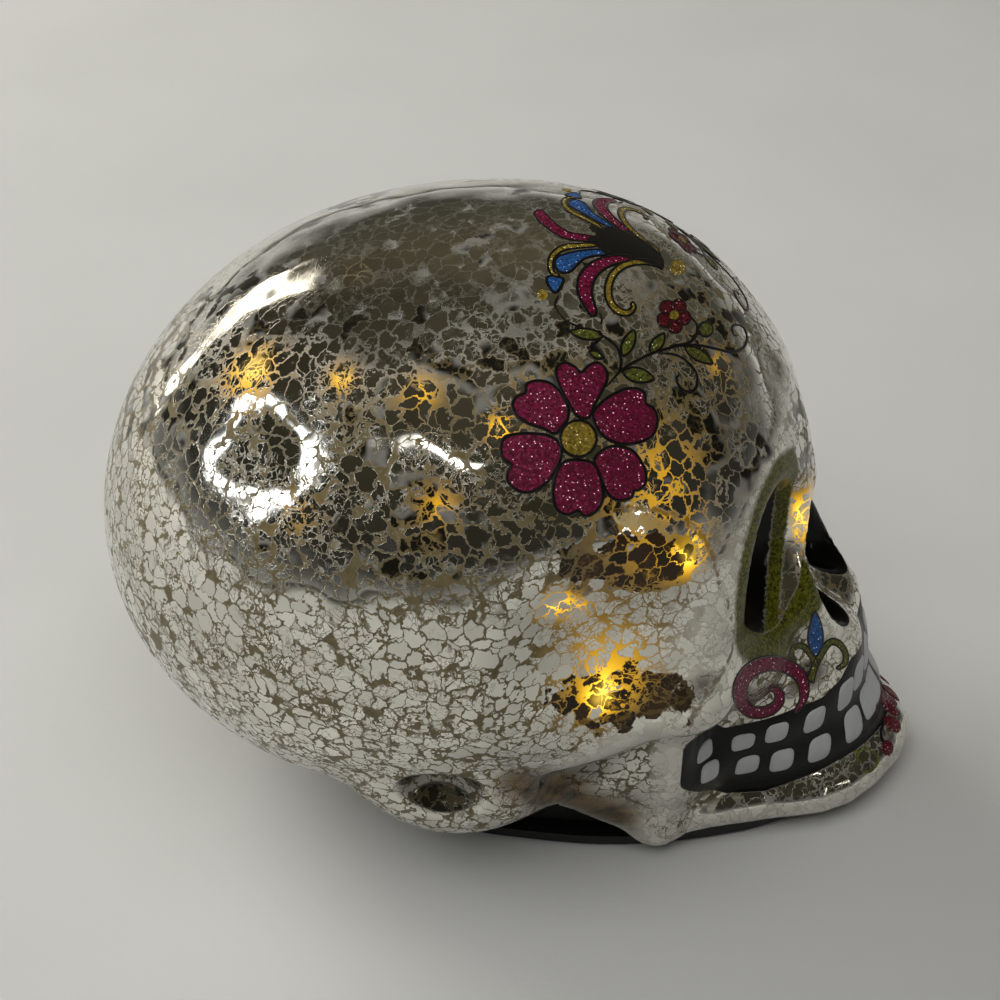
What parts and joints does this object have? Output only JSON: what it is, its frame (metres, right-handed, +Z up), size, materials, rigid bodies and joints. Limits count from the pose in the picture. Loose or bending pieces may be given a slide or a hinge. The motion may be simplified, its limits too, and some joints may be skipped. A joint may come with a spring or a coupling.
{
  "type": "light-up skull ornament",
  "caption": "Blown silvered-glass skull lamp with open eye sockets, nose and temples, on a black battery base with a hinged door, slide switch and a wire light string inside.",
  "frame": {"origin": "on the table under the middle of the object, bottom faces of the foot pads", "axes": "+Z up, the face looks along -Y, +X is the skull's own left side"},
  "size_m": [0.1228, 0.1634, 0.1207],
  "materials": {
    "silvered_glass": "crackled silvering under clear glass",
    "silicone_rubber": "satin",
    "black_plastic": "fine grain",
    "plated_steel": "nickel plated",
    "board_laminate": "solder mask",
    "chip_epoxy": "moulded",
    "knob_plastic": "moulded",
    "lacquered_copper": "clear lacquer",
    "foot_rubber": "matt",
    "cell_jacket": "plain printed jacket",
    "clear_resin": "clear drop, lit warm white"
  },
  "bodies": {
    "lamp": {"base_shell": "black_plastic", "battery_cell_1": "cell_jacket", "battery_cell_2": "cell_jacket", "battery_cell_3": "cell_jacket", "board_screw_1": "plated_steel", "board_screw_2": "plated_steel", "circuit_board": "board_laminate", "contact_spring_1": "plated_steel", "contact_spring_2": "plated_steel", "contact_spring_3": "plated_steel", "contact_strip_in": "plated_steel", "contact_strip_left": "plated_steel", "contact_strip_out": "plated_steel", "contact_strip_right": "plated_steel", "deck_cover": "black_plastic", "deck_screw_1": "plated_steel", "deck_screw_2": "plated_steel", "deck_screw_3": "plated_steel", "door_pin": "plated_steel", "foot_pad_1": "foot_rubber", "foot_pad_2": "foot_rubber", "foot_pad_3": "foot_rubber", "foot_pad_4": "foot_rubber", "glass_skull": "silvered_glass", "led_bead_01": "clear_resin", "led_bead_02": "clear_resin", "led_bead_03": "clear_resin", "led_bead_04": "clear_resin", "led_bead_05": "clear_resin", "led_bead_06": "clear_resin", "led_bead_07": "clear_resin", "led_bead_08": "clear_resin", "led_bead_09": "clear_resin", "led_bead_10": "clear_resin", "led_bead_11": "clear_resin", "led_bead_12": "clear_resin", "led_bead_13": "clear_resin", "led_bead_14": "clear_resin", "led_bead_15": "clear_resin", "led_bead_16": "clear_resin", "led_bead_17": "clear_resin", "led_bead_18": "clear_resin", "led_bead_19": "clear_resin", "led_bead_20": "clear_resin", "light_string": "lacquered_copper", "seal_ring": "silicone_rubber", "string_grommet": "silicone_rubber", "switch_can": "plated_steel", "timer_chip": "chip_epoxy"},
    "door": {"battery_door": "black_plastic"},
    "knob": {"switch_knob": "knob_plastic"}
  },
  "joints": [
    {"name": "door_hinge", "type": "hinge", "parent": "lamp", "child": "door", "pos_m": [0, 0.01355, 0.0026], "axis": [1, 0, 0], "range_deg": [0, 100]},
    {"name": "switch_slide", "type": "slide", "parent": "lamp", "child": "knob", "axis": [1, 0, 0], "range_m": [0, 0.004]}
  ]
}
